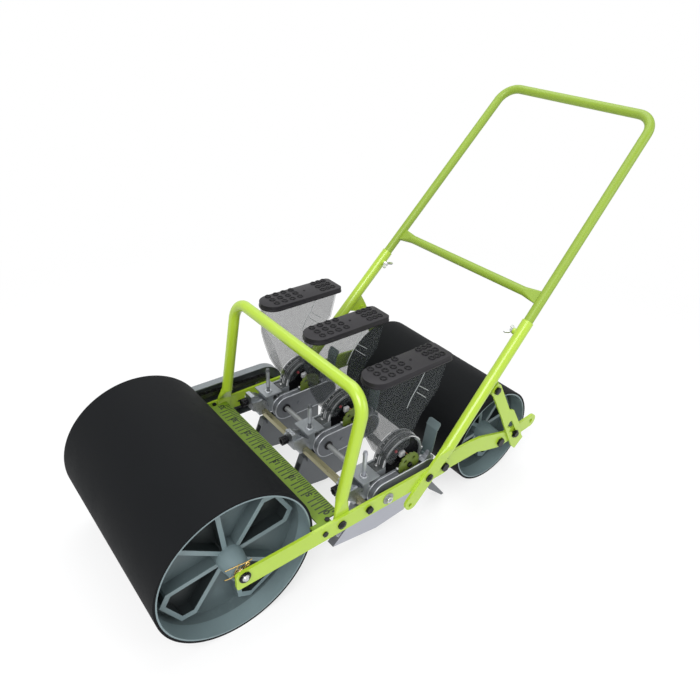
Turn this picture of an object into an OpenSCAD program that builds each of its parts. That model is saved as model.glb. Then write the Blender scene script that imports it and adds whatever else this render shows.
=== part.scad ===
// Walk-behind seed planter with three row units, in millimetres.
// X runs across the machine, Y to the rear, Z up. The modules are drawn about the front axle
// line and the floor, and place() moves them so that the origin is under the middle.

/* [Rollers] */
// Radius of the front press roller over its rubber
front_r = 135; // [130:0.5:140]
// Length of the front press roller
front_len = 369; // [350:1:371]
// Radius of the rear press roller over its rubber
rear_r = 102.7; // [98:0.1:105]
// Length of the rear press roller
rear_len = 350; // [320:1:356]
// Distance from the front axle to the rear axle
wheelbase = 593.5; // [588:0.5:600]
// Thickness of the rubber sleeves
rubber_t = 4; // [2.5:0.5:5]
// Thickness of the drum rims under the rubber
rim_t = 2.5; // [2.5:0.5:4.5]
// Depth from a drum's end to the face of its pocket walls
pocket_recess = 30; // [24:1:34]
// Radius of both axles
axle_r = 7; // [6.5:0.5:7.5]

/* [Frame] */
// Distance between the inner faces of the side bars
frame_w = 393; // [392:1:400]
// Thickness of the side bars
bar_t = 5; // [4:0.5:6]
// Height of the side bars' section
bar_h = 33; // [32:0.5:36]
// Drop of the bars' centre line below the front axle
bar_drop = 5.5; // [5:0.5:6]
// Distance from the front axle to the pivot of the rear arms
arm_pivot_y = 422; // [420:1:428]
// Distance from the front axle to the bolt of the handle legs
leg_bolt_y = 378; // [374:1:382]
// Distance from the front axle to the tool bar
tool_bar_y = 240; // [238:1:241]
// Side of the square tool bar
tool_bar_w = 10; // [8:0.5:11]
// Distance from the front axle to the drive shaft
shaft_y = 283; // [280:1:286]
// Height of the drive shaft over the floor
shaft_z = 130; // [127:0.5:132]
// Radius of the drive shaft
shaft_r = 5; // [4:0.5:6]
// Distance from the front axle to the foot bolts of the carry hoop
hoop_bolt_y = 182; // [180:1:185]
// Radius of the carry hoop's tube
hoop_r = 10.5; // [9:0.5:11]
// Distance along the hoop's legs from its bolts to the top tube
hoop_h = 237; // [220:0.1:250]
// Lean of the hoop to the rear, in degrees
hoop_lean = 9.9; // [8:0.1:11]
// Distance from the front axle to the front edge of the ruler bar
ruler_y = 143; // [140:1:145]
// Breadth of the ruler bar along the machine
ruler_w = 43; // [38:1:45]
// Height of the ruler bar's face over the floor
ruler_top = 144; // [141:0.5:146]
// Thickness of the ruler sheet
ruler_t = 3; // [2:0.5:4]

/* [Handle] */
// Angle of the handle over the floor, in degrees
handle_angle = 47.3; // [46:0.1:48.5]
// Lean of each handle leg toward the middle, in degrees
handle_lean = 2.41; // [2:0.01:2.6]
// Radius of the lower handle tubes
lower_tube_r = 11; // [10.5:0.5:12]
// Radius of the upper handle tube
upper_tube_r = 9; // [8.5:0.1:9.4]
// Distance along the leg from its bolt to the end of the lower tube
lower_tube_end = 334; // [325:1:345]
// Distance along the leg from its bolt to the cross tube
cross_tube_at = 382; // [380:1:400]
// Distance along the leg from its bolt to the grip tube
grip_at = 776; // [740:1:800]
// Bend radius of the handle's corners
grip_bend_r = 37; // [30:1:45]

/* [Row units] */
// Distance of the far row unit from the middle
unit_far = 146; // [142:1:148]
// Distance of the middle row unit from the middle
unit_mid = 2; // [0:1:10]
// Distance of the near row unit from the middle
unit_near = 158; // [150:1:159]
// Distance from the front axle to the seed roller
seed_y = 348; // [347:0.5:350]
// Height of the seed roller over the floor
seed_z = 160; // [158:0.5:162]
// Radius of the seed roller
seed_r = 41; // [38:0.5:43]
// Height of the lid's top over the floor
lid_top = 367.5; // [355:0.5:375]
// Width of the lid
lid_w = 52; // [50:0.5:56]
// Length of the lid
lid_len = 173; // [170:0.5:176]
// Wall of the clear hopper
hopper_wall = 2; // [1.6:0.2:3]

/* [Chain drive] */
// Pitch of the drive chain
chain_pitch = 12.7; // [12:0.1:13]
// Teeth of the front sprocket
front_teeth = 16; // [14:1:17]
// Teeth of the shaft sprocket
shaft_teeth = 12; // [11:1:14]
// Teeth of the seed sprockets
seed_teeth = 15; // [12:1:18]

/* [Hidden] */

$fn = 64;
nothing = 0.01;      // overshoot of a cut
running = 0.05;      // radial clearance of a shaft in its bore
bolt_gap = 0.15;     // radial clearance of a bolt in its hole
side_gap = 0.3;      // clearance between faces that slide past each other

// Frame
bar_in = frame_w / 2;
bar_out = bar_in + bar_t;
bar_z = front_r - bar_drop;
rear_bolt_z = bar_z + 0.5;
hoop_foot_t = 4;
hoop_splay = 1.2;    // lean of each hoop leg away from the middle, in degrees
hoop_x = bar_in - hoop_r + 1;
hoop_bend_r = 37;
hoop_flat_end = 46;
ruler_tab_t = 3;
head_t = 5;
cap_r = 8;
split_pin_r = 1.4;
bush_r = axle_r + 1.5;
bar_front = -14;
bar_corner_r = 6;
rivet_y = 148;
spare_hole_y = 220;

// Rear arms, their pivot and the notch plates that hold them
arm_t = 5;
arm_out = bar_in - 0.2;
arm_in = arm_out - arm_t;
arm_pivot_r = 6;
stud_r = 4;
stud_dy = 212.5;
stud_dz = -22.5;
plate_in = bar_in + 0.5;
plate_t = 4;
lift_pin_r = 5.25;
rear_end_y = 690;
rear_end_z = 113;

// Handle
leg_tilt = 90 - handle_angle;
leg_foot_t = 5;
leg_foot_w = 31;
leg_foot_end = 75;
leg_hole_at = 60;
leg_hole_r = 4.2;
leg_flat_to = 40;
leg_round_from = 68;
leg_x = bar_out + leg_foot_t / 2 + tan(handle_lean) * 60;
tube_wall = 1.4;
plug_r = 7.8;
plug_in = 100;
cross_tube_r = 8.7;
run_in = 1;          // how far a straight run of the handle ends inside its bend
run_step = 0.05;     // how much thinner than the bend that run is, so that its end stays inside
wing_at = 308;
boss_r = 6;
boss_end = 15;
lug_y = 35;
lug_at = 201;
lug_r = 12;
plate_pivot_r = 4;

// Row units: their places across the machine, and what they share
unit_x = [-unit_far, -unit_mid, unit_near];
guard_r = 25.5;
guard_rear_y = shaft_y + 102;
guard_in = 18;
guard_out = 31.5;
guard_t = 2;
cut_front = seed_y - 28;
cut_rear = seed_y + 27;
plate_l = 20;
plate_s = 3;
ring_r = seed_r + 6.6;
lid_y = 249.3;
lid_wall = 1.6;
lid_skirt = 12.5;
lid_plate = 4.5;
stud_h = 2;
hopper_w = lid_w - 4;
clamp_w = 32;
knob_dx = -5;
knob_z = 154;
stem_dx = 6;
stem_y = 256.6;
stem_r = 3.2;
latch_y = 416;
latch_z = 131;
drag_y = 398;
drag_z = 99;
pin_r = 2.5;
roller_face = 20.5;
sprocket_t = 3;
seed_tip_r = 24;
seed_hub_r = 8;

// Chain drive on the far side
chain_x = bar_out + 7;
cover_r = 49;
cover_out = bar_out + 20.5;
cover_in = bar_out + 3.5;
cover_wall = 2;
chain_roller_r = 3.9;

// Overall reach, which centres the origin
near_reach = leg_x - (leg_round_from - 3) * tan(handle_lean) + lower_tube_r;
handle_rear = leg_bolt_y + grip_at * sin(leg_tilt) + upper_tube_r;

module place() {
    translate([(cover_out - near_reach) / 2, (front_r - handle_rear) / 2, 0]) children();
}

// Moves a form drawn on the near side to the far side
module on_side(side) {
    if (side > 0) children();
    else mirror([1, 0, 0]) children();
}

// Cuts a plate from an outline drawn in Y and Z, from x0 towards +X
module side_plate(x0, thick) {
    translate([x0, 0, 0]) rotate([90, 0, 90]) linear_extrude(thick) children();
}

// Round bar along X
module bar_x(x0, length, r, y, z) {
    translate([x0, y, z]) rotate([0, 90, 0]) cylinder(h = length, r = r);
}

// Hexagonal head or nut along X, measured across its corners
module hex_x(x0, length, corner_r, y, z) {
    translate([x0, y, z]) rotate([0, 90, 0]) rotate([0, 0, 30]) cylinder(h = length, r = corner_r, $fn = 6);
}

// Flat link outline: two round ends joined by a straight web
module link_2d(y0, z0, y1, z1, r) {
    run = norm([y1 - y0, z1 - z0]);
    translate([y0, z0]) rotate(atan2(z1 - z0, y1 - y0)) {
        circle(r = r);
        translate([run, 0]) circle(r = r);
        translate([0, -r]) square([run, 2 * r]);
    }
}

// Moves each side of an outline inwards by d; the points run anticlockwise
function side_n(p, i) = let (d = p[(i + 1) % len(p)] - p[i]) [-d[1], d[0]] / norm(d);
function inset(p, d) = [
    for (i = [0 : len(p) - 1])
        let (a = side_n(p, (i + len(p) - 1) % len(p)), b = side_n(p, i))
            p[i] + d * (a + b) / (1 + a * b)
];

// Frame
module bar_outline() {
    difference() {
        union() {
            translate([arm_pivot_y, bar_z]) circle(r = bar_h / 2);
            translate([bar_front + bar_corner_r, bar_z - bar_h / 2])
                square([arm_pivot_y - bar_front - bar_corner_r, bar_h]);
            translate([bar_front, bar_z - bar_h / 2 + bar_corner_r])
                square([bar_corner_r + 1, bar_h - 2 * bar_corner_r]);
            for (side = [-1, 1]) translate([bar_front + bar_corner_r, bar_z + side * (bar_h / 2 - bar_corner_r)])
                circle(r = bar_corner_r);
        }
        translate([0, front_r]) circle(r = bush_r + nothing);
        translate([rivet_y, bar_z]) circle(r = 3 + bolt_gap);
        translate([hoop_bolt_y, bar_z]) circle(r = 5 + bolt_gap);
        translate([tool_bar_y, bar_z]) circle(r = 3 + bolt_gap);
        translate([shaft_y, shaft_z]) circle(r = shaft_r + running);
        translate([leg_bolt_y, rear_bolt_z]) circle(r = 5 + bolt_gap);
        translate([arm_pivot_y, rear_bolt_z]) circle(r = arm_pivot_r + bolt_gap);
    }
}

module side_bar_near() {
    color("yellowgreen") place() side_plate(bar_in, bar_t) bar_outline();
}

module side_bar_far() {
    color("yellowgreen") place() side_plate(-bar_out, bar_t) difference() {
        bar_outline();
        translate([spare_hole_y, bar_z - 6]) circle(r = 4.25);
    }
}

module ruler_bar() {
    notch = 10;
    color("olivedrab") place() difference() {
        union() {
            translate([-bar_in, ruler_y, ruler_top - ruler_t]) cube([2 * bar_in, 22, ruler_t]);
            translate([-bar_in + notch, ruler_y, ruler_top - ruler_t]) cube([2 * (bar_in - notch), ruler_w, ruler_t]);
            for (side = [-1, 1]) on_side(side) {
                side_plate(bar_in - ruler_tab_t, ruler_tab_t)
                    translate([ruler_y - 15, ruler_top - 23]) square([37, 23]);
                translate([bar_in - notch, ruler_y - 15, ruler_top - ruler_t]) cube([notch, 16, ruler_t]);
            }
        }
        for (side = [-1, 1]) {
            bar_x(side * (bar_in - 2) - 5, 10, 3 + bolt_gap, rivet_y, bar_z);
            translate([side * (bar_in - 7), ruler_y + 17, ruler_top - 5]) cylinder(h = 10, r = 2 + bolt_gap);
        }
    }
}

// Frame of a hoop leg: its Z axis is the leg's centre line
module hoop_leg() {
    translate([hoop_x, 0, 0]) rotate([0, hoop_splay, 0]) children();
}

module carry_hoop() {
    flat_w = 28;
    bend = 90 + hoop_splay;
    tangent = hoop_bend_r * tan(bend / 2);
    straight = hoop_h / cos(hoop_splay) - tangent;
    top_half = hoop_x + hoop_h * tan(hoop_splay) - tangent;
    color("yellowgreen") place() translate([0, hoop_bolt_y, bar_z]) rotate([-hoop_lean, 0, 0]) {
        for (side = [-1, 1]) on_side(side) {
            difference() {
                union() {
                    side_plate(bar_in - hoop_foot_t, hoop_foot_t) {
                        circle(r = flat_w / 2);
                        translate([-flat_w / 2, 0]) square([flat_w, 21]);
                    }
                    hull() {
                        translate([bar_in - hoop_foot_t, -flat_w / 2, 20]) cube([hoop_foot_t, flat_w, 1]);
                        hoop_leg() translate([0, 0, hoop_flat_end]) cylinder(h = 0.5, r = hoop_r - side_gap, $fn = 32);
                    }
                }
                bar_x(bar_in - 10, 20, 5 + bolt_gap, 0, 0);
            }
            hoop_leg() {
                translate([0, 0, hoop_flat_end - 3])
                    cylinder(h = straight + run_in - hoop_flat_end + 3, r = hoop_r - run_step);
                translate([-hoop_bend_r, 0, straight]) rotate([90, 0, 0])
                    rotate_extrude(angle = bend) translate([hoop_bend_r, 0]) circle(r = hoop_r);
            }
        }
        bar_x(-top_half - run_in, 2 * (top_half + run_in), hoop_r - run_step, 0, hoop_h);
    }
}

module tool_bar() {
    color("darkkhaki") place() difference() {
        translate([-bar_in, tool_bar_y - tool_bar_w / 2, bar_z - tool_bar_w / 2])
            cube([2 * bar_in, tool_bar_w, tool_bar_w]);
        for (side = [-1, 1]) bar_x(side * (bar_in - 10) - 11, 22, 3 + bolt_gap, tool_bar_y, bar_z);
    }
}

module frame_bolts() {
    color("dimgray") place() for (side = [-1, 1]) {
        on_side(side) {
            // Ruler rivets
            bar_x(bar_out, 2.5, 5, rivet_y, bar_z);
            bar_x(bar_in - ruler_tab_t, bar_t + ruler_tab_t, 3, rivet_y, bar_z);
            bar_x(bar_in - ruler_tab_t - 2, 2, 5, rivet_y, bar_z);
            // Domed bolts of the hoop
            dome_bolt(bar_out, bar_in - hoop_foot_t, hoop_bolt_y, bar_z);
            // Hexagon bolts of the tool bar
            hex_x(bar_out, head_t, 7.5, tool_bar_y, bar_z);
            bar_x(bar_in - 18, 18 + bar_t, 3, tool_bar_y, bar_z);
            // Domed bolts of the handle legs
            dome_bolt(bar_out + leg_foot_t, bar_in, leg_bolt_y, rear_bolt_z);
            // Pivots of the rear arms, with thin nuts inside
            hex_x(bar_out, head_t, 9, arm_pivot_y, rear_bolt_z);
            bar_x(arm_in - side_gap, bar_out - arm_in + side_gap, arm_pivot_r, arm_pivot_y, rear_bolt_z);
            bar_x(arm_in - side_gap - 3, 3, 8.5, arm_pivot_y, rear_bolt_z);
            // Small bolts through the ruler's ends
            translate([bar_in - 7, ruler_y + 17, ruler_top - 7]) cylinder(h = 7, r = 2);
            translate([bar_in - 7, ruler_y + 17, ruler_top]) cylinder(h = 2.5, r = 4.5, $fn = 6);
            translate([bar_in - 7, ruler_y + 17, ruler_top - ruler_t - 3]) cylinder(h = 3, r = 4, $fn = 6);
        }
    }
}

// Domed bolt through the plates from x_in to x_out, with a nut inside
module dome_bolt(x_out, x_in, y, z) {
    bar_x(x_in, x_out - x_in, 5, y, z);
    bar_x(x_out, 2.5, cap_r, y, z);
    translate([x_out + 2.5, y, z]) rotate([0, 90, 0]) rotate_extrude() intersection() {
        translate([0, -7]) circle(r = cap_r + 1.5);
        square([cap_r, head_t - 2.5]);
    }
    hex_x(x_in - 4, 4, 8, y, z);
}

module bushes() {
    color("gray") place() for (side = [-1, 1]) on_side(side) difference() {
        union() {
            bar_x(bar_in, bar_t + 2, bush_r, 0, front_r);
            bar_x(bar_out, 2, bush_r + 1.2, 0, front_r);
        }
        bar_x(bar_in - 1, bar_t + 5, axle_r + running, 0, front_r);
    }
}

// Chain drive
function pitch_r(teeth) = chain_pitch / 2 / sin(180 / teeth);

// Toothed wheel along X; its gaps are round and its web is lightened
module toothed_wheel(teeth, tip_r, gap_r, thick, bore) {
    rotate([90, 0, 90]) linear_extrude(thick) difference() {
        circle(r = tip_r);
        circle(r = bore);
        for (i = [0 : teeth - 1]) rotate(i * 360 / teeth) translate([tip_r + gap_r / 3, 0]) circle(r = gap_r, $fn = 24);
        for (i = [0 : 3]) rotate(i * 90 + 45) translate([(tip_r + bore) / 2, 0]) circle(r = (tip_r - bore) / 5, $fn = 32);
    }
}

module front_sprocket() {
    color("gray") place() translate([-chain_x - sprocket_t / 2, 0, front_r]) union() {
        toothed_wheel(front_teeth, pitch_r(front_teeth) - chain_roller_r - side_gap, 4.2, sprocket_t, axle_r);
        rotate([0, 90, 0]) difference() {
            cylinder(h = sprocket_t + 2, r = axle_r + 5);
            translate([0, 0, -1]) cylinder(h = sprocket_t + 4, r = axle_r);
        }
    }
}

module shaft_sprocket() {
    color("gray") place() translate([-chain_x - sprocket_t / 2, shaft_y, shaft_z]) union() {
        toothed_wheel(shaft_teeth, pitch_r(shaft_teeth) - chain_roller_r - side_gap, 4.2, sprocket_t, shaft_r);
        rotate([0, 90, 0]) difference() {
            cylinder(h = sprocket_t + 2, r = shaft_r + 4);
            translate([0, 0, -1]) cylinder(h = sprocket_t + 4, r = shaft_r);
        }
    }
}

// Chain route: two pitch circles joined by straight runs, measured from the top of the front one
chain_run = norm([shaft_y, shaft_z - front_r]);
chain_slope = atan2(shaft_z - front_r, shaft_y);
chain_big = pitch_r(front_teeth);
chain_small = pitch_r(shaft_teeth);
chain_lean = asin((chain_big - chain_small) / chain_run);
chain_straight = chain_run * cos(chain_lean);
arc_small = chain_small * (180 - 2 * chain_lean) * PI / 180;
arc_big = chain_big * (180 + 2 * chain_lean) * PI / 180;
chain_total = 2 * chain_straight + arc_small + arc_big;
chain_links = 2 * round(chain_total / chain_pitch / 2);
link_pitch = chain_total / chain_links;

function turn(a) = [cos(a), sin(a)];
function chain_at(s) =
    s < chain_straight
    ? chain_big * turn(90 - chain_lean) + s * turn(-chain_lean)
    : s < chain_straight + arc_small
    ? [chain_run, 0] + chain_small * turn(90 - chain_lean - (s - chain_straight) / chain_small * 180 / PI)
    : s < 2 * chain_straight + arc_small
    ? [chain_run, 0] + chain_small * turn(chain_lean - 90)
        + (s - chain_straight - arc_small) * turn(180 + chain_lean)
    : chain_big * turn(chain_lean - 90 - (s - 2 * chain_straight - arc_small) / chain_big * 180 / PI);

module drive_chain() {
    plate_h = 4.6;
    color("slategray") place() translate([-chain_x, 0, front_r]) rotate([chain_slope, 0, 0])
        for (i = [0 : chain_links - 1]) {
            a = chain_at(i * link_pitch);
            b = chain_at(((i + 1) % chain_links) * link_pitch);
            inner = i % 2 == 0;
            for (side = [-1, 1]) on_side(side)
                side_plate(inner ? 2.4 : 3.6, 1.1) link_2d(a[0], a[1], b[0], b[1], plate_h);
            bar_x(-2.4, 4.8, chain_roller_r, a[0], a[1]);
        }
}

module cover_outline(grow) {
    translate([0, front_r]) circle(r = cover_r + grow);
    link_2d(0, front_r, shaft_y, shaft_z, cover_r + grow);
}

module chain_cover() {
    color("silver") place() {
        difference() {
            side_plate(-cover_out, cover_out - cover_in) cover_outline(0);
            side_plate(-cover_out + cover_wall, cover_out) cover_outline(-cover_wall);
        }
        for (y = [72, 208]) difference() {
            bar_x(-cover_out + cover_wall, cover_out - cover_wall - bar_out, 6, y, bar_z);
            bar_x(-cover_out + cover_wall + 3, 30, 2.5, y, bar_z);
        }
    }
}

module drive_shaft() {
    color("darkkhaki") place() {
        bar_x(-chain_x - 6, chain_x + 6 + bar_out + side_gap, shaft_r, shaft_y, shaft_z);
        bar_x(bar_out + side_gap, 1.5, 11, shaft_y, shaft_z);
        hex_x(bar_out + side_gap + 1.5, 4, 6.5, shaft_y, shaft_z);
        bar_x(-bar_out - 2, 1.5, 8, shaft_y, shaft_z);
        hex_x(-chain_x - 6.5, 3, 7, shaft_y, shaft_z);
    }
}

// Rollers
module sleeve(r, length) {
    rotate([0, 90, 0]) difference() {
        cylinder(h = length, r = r, center = true, $fn = 128);
        cylinder(h = length + 1, r = r - rubber_t, center = true, $fn = 128);
    }
}

// Wedge outline of a pocket: a sharp point, straight sides at an angle each way, and cut corners
module wedge(length, half) {
    shoulder = length * 0.87;
    polygon([
        [0, 0], shoulder * turn(-half), length * turn(-half * 0.6),
        length * turn(half * 0.6), shoulder * turn(half)
    ]);
}

// One end of a drum: a sunk web with four raised wedge-shaped pockets, and a hub tube
module drum_end(r, half_len, hub_end, root_r) {
    wall = 8;
    web_t = 4;
    wall_h = 20;
    r1 = r * 0.94;
    half = 24;
    apex = wall / sin(half);
    face = half_len - pocket_recess;
    translate([face - wall_h - web_t, 0, 0]) rotate([90, 0, 90]) {
        cylinder(h = web_t, r = r + nothing, $fn = 128);
        translate([0, 0, web_t]) linear_extrude(wall_h) for (i = [0 : 3]) rotate(30 + i * 90) difference() {
            wedge(r1, half);
            translate([apex, 0]) wedge(r1 - wall - apex, half);
        }
        cylinder(h = wall_h + web_t + 6, r = root_r);
        translate([0, 0, wall_h + web_t + 6 - nothing])
            cylinder(h = hub_end - face - 6 + nothing, r1 = root_r, r2 = root_r - 5);
    }
}

module drum(r, length, hub_end, root_r) {
    difference() {
        union() {
            rotate([0, 90, 0]) difference() {
                cylinder(h = length, r = r, center = true, $fn = 128);
                cylinder(h = length + 1, r = r - rim_t, center = true, $fn = 128);
            }
            for (side = [-1, 1]) on_side(side) drum_end(r - rim_t, length / 2, hub_end, root_r);
        }
        bar_x(-hub_end - 1, 2 * hub_end + 2, axle_r + running, 0, 0);
    }
}

module front_sleeve() {
    color("black") place() translate([0, 0, front_r]) sleeve(front_r, front_len);
}

module front_drum() {
    color("slategray") place() translate([0, 0, front_r])
        drum(front_r - rubber_t, front_len, bar_in - 6.5, 22);
}

// Line of the split pins through the front axle
module at_pins() {
    for (side = [-1, 1]) on_side(side) translate([bar_in - 3, 0, front_r]) rotate([-35, 0, 0]) children();
}

module front_axle() {
    color("gray") place() difference() {
        front_axle_bar();
        at_pins() translate([0, 0, -20]) cylinder(h = 40, r = split_pin_r + running, $fn = 32);
    }
}

module front_axle_bar() {
    union() {
        bar_x(-chain_x - 7, chain_x + 7 + bar_out + 2 + side_gap, axle_r, 0, front_r);
        bar_x(bar_out + 2 + side_gap, 1, 8, 0, front_r);
        translate([bar_out + 3 + side_gap, 0, front_r]) rotate([0, 90, 0]) cylinder(h = 2.5, r1 = 5.6, r2 = 3.8);
        hex_x(-chain_x - 7.5, 3.5, 10, 0, front_r);
        for (side = [-1, 1]) on_side(side) bar_x(bar_in - 6.2, 1.4, 13, 0, front_r);
    }
}

module split_pins() {
    loop_r = 3;
    color("darkgoldenrod") place() at_pins() {
        translate([0, 0, -axle_r - 7]) cylinder(h = 2 * axle_r + 14, r = split_pin_r, $fn = 32);
        translate([0, 0, axle_r + 7 + loop_r]) rotate([0, 90, 0])
            rotate_extrude($fn = 32) translate([loop_r, 0]) circle(r = 1.2, $fn = 20);
    }
}

module rear_sleeve() {
    color("black") place() translate([0, wheelbase, rear_r]) sleeve(rear_r, rear_len);
}

module rear_drum() {
    color("slategray") place() translate([0, wheelbase, rear_r])
        drum(rear_r - rubber_t, rear_len, arm_in - 1, 20);
}

module rear_axle() {
    color("gray") place() {
        bar_x(-arm_out, 2 * arm_out, axle_r, wheelbase, rear_r);
        for (side = [-1, 1]) on_side(side) {
            hex_x(arm_out, head_t, 9.5, wheelbase, rear_r);
            stud();
        }
    }
}

// Stud on the rear arm that runs in the notch plate
module stud() {
    y = arm_pivot_y + stud_dy;
    z = rear_bolt_z + stud_dz;
    bar_x(arm_out, plate_in + plate_t + side_gap - arm_out, stud_r, y, z);
    bar_x(plate_in + plate_t + side_gap, 1, 9, y, z);
    bar_x(plate_in + plate_t + side_gap + 1, 3.5, 6.5, y, z);
}

module arm_outline() {
    py = arm_pivot_y;
    pz = rear_bolt_z;
    difference() {
        union() {
            translate([py, pz]) circle(r = 19);
            polygon([
                [py, pz + 19], [py, pz - 19], [py + 102, pz - 19], [py + 126, pz - 28],
                [wheelbase, rear_r - 13.5], [wheelbase + 32, rear_r - 11.5], [rear_end_y, rear_end_z - 15],
                [rear_end_y, rear_end_z + 15], [wheelbase + 56, rear_r + 21], [wheelbase + 10, rear_r + 20],
                [py + 104, pz + 16], [py + 75, pz + 19]
            ]);
            translate([rear_end_y, rear_end_z]) circle(r = 15);
        }
        translate([py, pz]) circle(r = arm_pivot_r + running);
        translate([wheelbase, rear_r]) circle(r = axle_r);
        translate([rear_end_y, rear_end_z]) circle(r = lift_pin_r);
    }
}

module rear_arms() {
    color("yellowgreen") place() for (side = [-1, 1]) on_side(side)
        side_plate(arm_in, arm_t) arm_outline();
}

// Notch plate, drawn from its pivot: the slot points at the stud and has notches on its front side
module notch_outline() {
    reach = norm([stud_rel_y, stud_rel_z]);
    aim = atan2(stud_rel_z, stud_rel_y);
    slot_r = stud_r + 1.3;
    difference() {
        union() {
            circle(r = 13);
            polygon([
                [-9.7, -5.5], [39, -86], [46, -99.6], [91.5, -177.7], [104, -189.5],
                [126, -169.7], [118, -158.4], [107.7, -131.4], [71.5, -76.2], [57, -70], [11.5, 6]
            ]);
        }
        circle(r = plate_pivot_r + running);
        rotate(aim) {
            link_2d(reach - 46, 0, reach + 1.5, 0, slot_r);
            for (i = [0 : 2]) translate([reach - 3 - 20 * i, -5]) circle(r = slot_r, $fn = 40);
        }
    }
}

// Pivot of the notch plate on the leg's lug, and the stud seen from it
pivot_y = leg_bolt_y + lug_y * cos(leg_tilt) + lug_at * sin(leg_tilt);
pivot_z = rear_bolt_z - lug_y * sin(leg_tilt) + lug_at * cos(leg_tilt);
stud_rel_y = arm_pivot_y + stud_dy - pivot_y;
stud_rel_z = rear_bolt_z + stud_dz - pivot_z;

module notch_plate(side) {
    color("yellowgreen") place() on_side(side)
        side_plate(plate_in, plate_t) translate([pivot_y, pivot_z]) notch_outline();
}

// Handle
module leg_frame() {
    translate([0, leg_bolt_y, rear_bolt_z]) rotate([-leg_tilt, 0, 0]) children();
}

// Frame of a leaning tube: its Z axis is the tube's centre line, starting level with the leg's bolt
module tube_frame() {
    leg_frame() translate([leg_x, 0, 0]) rotate([0, -handle_lean, 0]) children();
}

module handle_leg(side) {
    lug_x = plate_in - side_gap - 4;
    color("yellowgreen") place() on_side(side) difference() {
        union() {
            leg_frame() {
                side_plate(bar_out, leg_foot_t) {
                    translate([0, leg_hole_r - leg_foot_end + leg_foot_w / 2]) circle(r = leg_foot_w / 2);
                    translate([-leg_foot_w / 2, leg_hole_r - leg_foot_end + leg_foot_w / 2])
                        square([leg_foot_w, leg_flat_to + leg_foot_end - leg_hole_r - leg_foot_w / 2 + 0.5]);
                }
                hull() {
                    translate([bar_out, -leg_foot_w / 2, leg_flat_to]) cube([leg_foot_t, leg_foot_w, 0.5]);
                    translate([leg_x, 0, 0]) rotate([0, -handle_lean, 0])
                        translate([0, 0, leg_round_from]) cylinder(h = 0.5, r = lower_tube_r - 0.3, $fn = 32);
                }
                side_plate(lug_x, 4) {
                    polygon([
                        [5, lug_at - 24], [lug_y - 3, lug_at - lug_r + 0.3], [lug_y + 3, lug_at + lug_r - 0.3],
                        [5, lug_at + 22]
                    ]);
                    translate([lug_y, lug_at]) circle(r = lug_r);
                }
            }
            tube_frame() {
                translate([0, 0, leg_round_from - 3]) cylinder(h = lower_tube_end - leg_round_from + 3, r = lower_tube_r);
                translate([-boss_end, 0, wing_at]) rotate([0, 90, 0]) cylinder(h = boss_end, r = boss_r);
            }
        }
        tube_frame() {
            translate([0, 0, leg_round_from + 4])
                cylinder(h = lower_tube_end, r = lower_tube_r - tube_wall);
            translate([-boss_end - 1, 0, wing_at]) rotate([0, 90, 0]) cylinder(h = boss_end, r = 3 + running);
        }
        leg_frame() {
            bar_x(bar_out - 5, 20, 5 + bolt_gap, 0, 0);
            bar_x(bar_out - 5, 20, leg_hole_r, 0, -leg_hole_at);
            bar_x(lug_x - 5, 20, plate_pivot_r, lug_y, lug_at);
        }
    }
    // Pivot bolt of the notch plate
    color("dimgray") place() on_side(side) leg_frame() {
        bar_x(lug_x, plate_in + plate_t + side_gap - lug_x, plate_pivot_r, lug_y, lug_at);
        hex_x(plate_in + plate_t + side_gap, 4, 7.5, lug_y, lug_at);
        hex_x(lug_x - 3.5, 3.5, 7.5, lug_y, lug_at);
    }
}

module upper_handle() {
    bend = 90 - handle_lean;
    tangent = grip_bend_r * tan(bend / 2);
    straight = grip_at / cos(handle_lean) - tangent;
    grip_x = leg_x - grip_at * tan(handle_lean) - tangent;
    cross_x = leg_x - cross_tube_at * tan(handle_lean) - upper_tube_r + 2;
    flare = 26;
    color("yellowgreen") place() union() {
        for (side = [-1, 1]) on_side(side) tube_frame() {
            translate([0, 0, lower_tube_end - plug_in]) cylinder(h = plug_in + 2, r = plug_r);
            translate([0, 0, lower_tube_end + side_gap])
                cylinder(h = straight + run_in - lower_tube_end - side_gap, r = upper_tube_r - run_step);
            translate([-grip_bend_r, 0, straight]) rotate([90, 0, 0])
                rotate_extrude(angle = bend) translate([grip_bend_r, 0]) circle(r = upper_tube_r);
        }
        leg_frame() {
            bar_x(-grip_x - run_in, 2 * (grip_x + run_in), upper_tube_r - run_step, 0, grip_at);
            bar_x(-cross_x + 30, 2 * cross_x - 60, cross_tube_r, 0, cross_tube_at);
            for (side = [-1, 1]) on_side(side) hull() {
                bar_x(cross_x - 32, 0.5, cross_tube_r + side_gap, 0, cross_tube_at, $fn = 32);
                translate([cross_x - 1, -3, cross_tube_at - flare / 2]) cube([1, 6, flare]);
            }
        }
    }
}

module wing_screw(side) {
    wing_x = boss_end + 0.5;
    color("silver") place() on_side(side) tube_frame() translate([0, 0, wing_at]) rotate([0, -90, 0]) {
        translate([0, 0, lower_tube_r - tube_wall + 0.2]) cylinder(h = wing_x - lower_tube_r + tube_wall, r = 3);
        translate([0, 0, wing_x]) cylinder(h = 6, r1 = 5.5, r2 = 4);
        for (turn_at = [0, 180]) rotate([0, 0, turn_at + 35]) translate([0, 0, wing_x + 1])
            rotate([90, 0, 0]) linear_extrude(2.4, center = true)
                polygon([[3, 0], [9, 2], [13, 8], [12, 12], [8, 12], [4, 6], [3, 5]]);
    }
}

// Row units, each drawn about its own middle plane
module at_unit(n) {
    place() translate([unit_x[n], 0, 0]) children();
}

module guard_outline(grow) {
    link_2d(shaft_y, shaft_z, guard_rear_y, shaft_z, guard_r + grow);
}

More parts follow.
